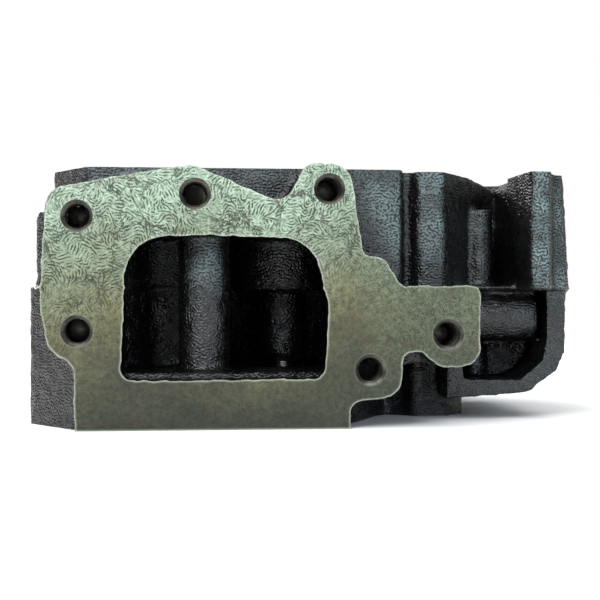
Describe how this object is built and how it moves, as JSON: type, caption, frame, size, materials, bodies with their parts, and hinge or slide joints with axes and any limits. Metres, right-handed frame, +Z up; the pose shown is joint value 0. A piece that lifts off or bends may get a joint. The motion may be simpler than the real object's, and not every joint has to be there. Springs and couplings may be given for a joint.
{
  "type": "diesel engine cylinder head",
  "caption": "Cast-iron cylinder head with an open intake port flange, two sprung valves, injector sleeve and core plugs.",
  "frame": {"origin": "centre of the cylinder bore on the fire deck, between the valve seats", "axes": "+Z up out of the cylinder along the valve stems; -Y out of the intake flange; +Y out of the exhaust flange; +X towards the coolant outlet end"},
  "size_m": [0.2053, 0.16, 0.094],
  "materials": {
    "grey_cast_iron": "oily sand-cast black with machined faces",
    "seat_iron": "turned and ground alloy iron",
    "guide_bronze": "drawn bronze",
    "intake_valve_steel": "ground steel",
    "exhaust_valve_steel": "heat-tinted ground steel",
    "seal_rubber": "matte fluoro rubber",
    "retainer_steel": "phosphated steel",
    "collet_steel": "hardened steel",
    "spring_steel": "oil-tempered steel wire",
    "copper": "drawn copper",
    "zinc_plated_steel": "pressed steel, yellow zinc",
    "plug_steel": "blackened steel"
  },
  "bodies": {
    "head": {"head_casting": "grey_cast_iron", "intake_valve_seat": "seat_iron", "intake_valve_guide": "guide_bronze", "intake_stem_seal": "seal_rubber", "intake_spring_seat": "retainer_steel", "intake_outer_spring": "spring_steel", "intake_inner_spring": "spring_steel", "exhaust_valve_seat": "seat_iron", "exhaust_valve_guide": "guide_bronze", "exhaust_stem_seal": "seal_rubber", "exhaust_spring_seat": "retainer_steel", "exhaust_outer_spring": "spring_steel", "exhaust_inner_spring": "spring_steel", "injector_sleeve": "copper", "core_plug_left": "zinc_plated_steel", "core_plug_back": "zinc_plated_steel", "core_plug_back_left": "zinc_plated_steel", "core_plug_right": "zinc_plated_steel", "oil_gallery_plug": "plug_steel"},
    "intake_valve_train": {"intake_valve": "intake_valve_steel", "intake_spring_retainer": "retainer_steel", "intake_collet_a": "collet_steel", "intake_collet_b": "collet_steel"},
    "exhaust_valve_train": {"exhaust_valve": "exhaust_valve_steel", "exhaust_spring_retainer": "retainer_steel", "exhaust_collet_a": "collet_steel", "exhaust_collet_b": "collet_steel"}
  },
  "joints": [
    {"name": "intake_valve_lift", "type": "slide", "parent": "head", "child": "intake_valve_train", "axis": [0, 0, -1], "range_m": [0, 0.0085], "stiffness_N_per_m": 22000, "springref_m": -0.008, "deforming": ["intake_outer_spring", "intake_inner_spring"]},
    {"name": "exhaust_valve_lift", "type": "slide", "parent": "head", "child": "exhaust_valve_train", "axis": [0, 0, -1], "range_m": [0, 0.0085], "stiffness_N_per_m": 22000, "springref_m": -0.008, "deforming": ["exhaust_outer_spring", "exhaust_inner_spring"]}
  ]
}
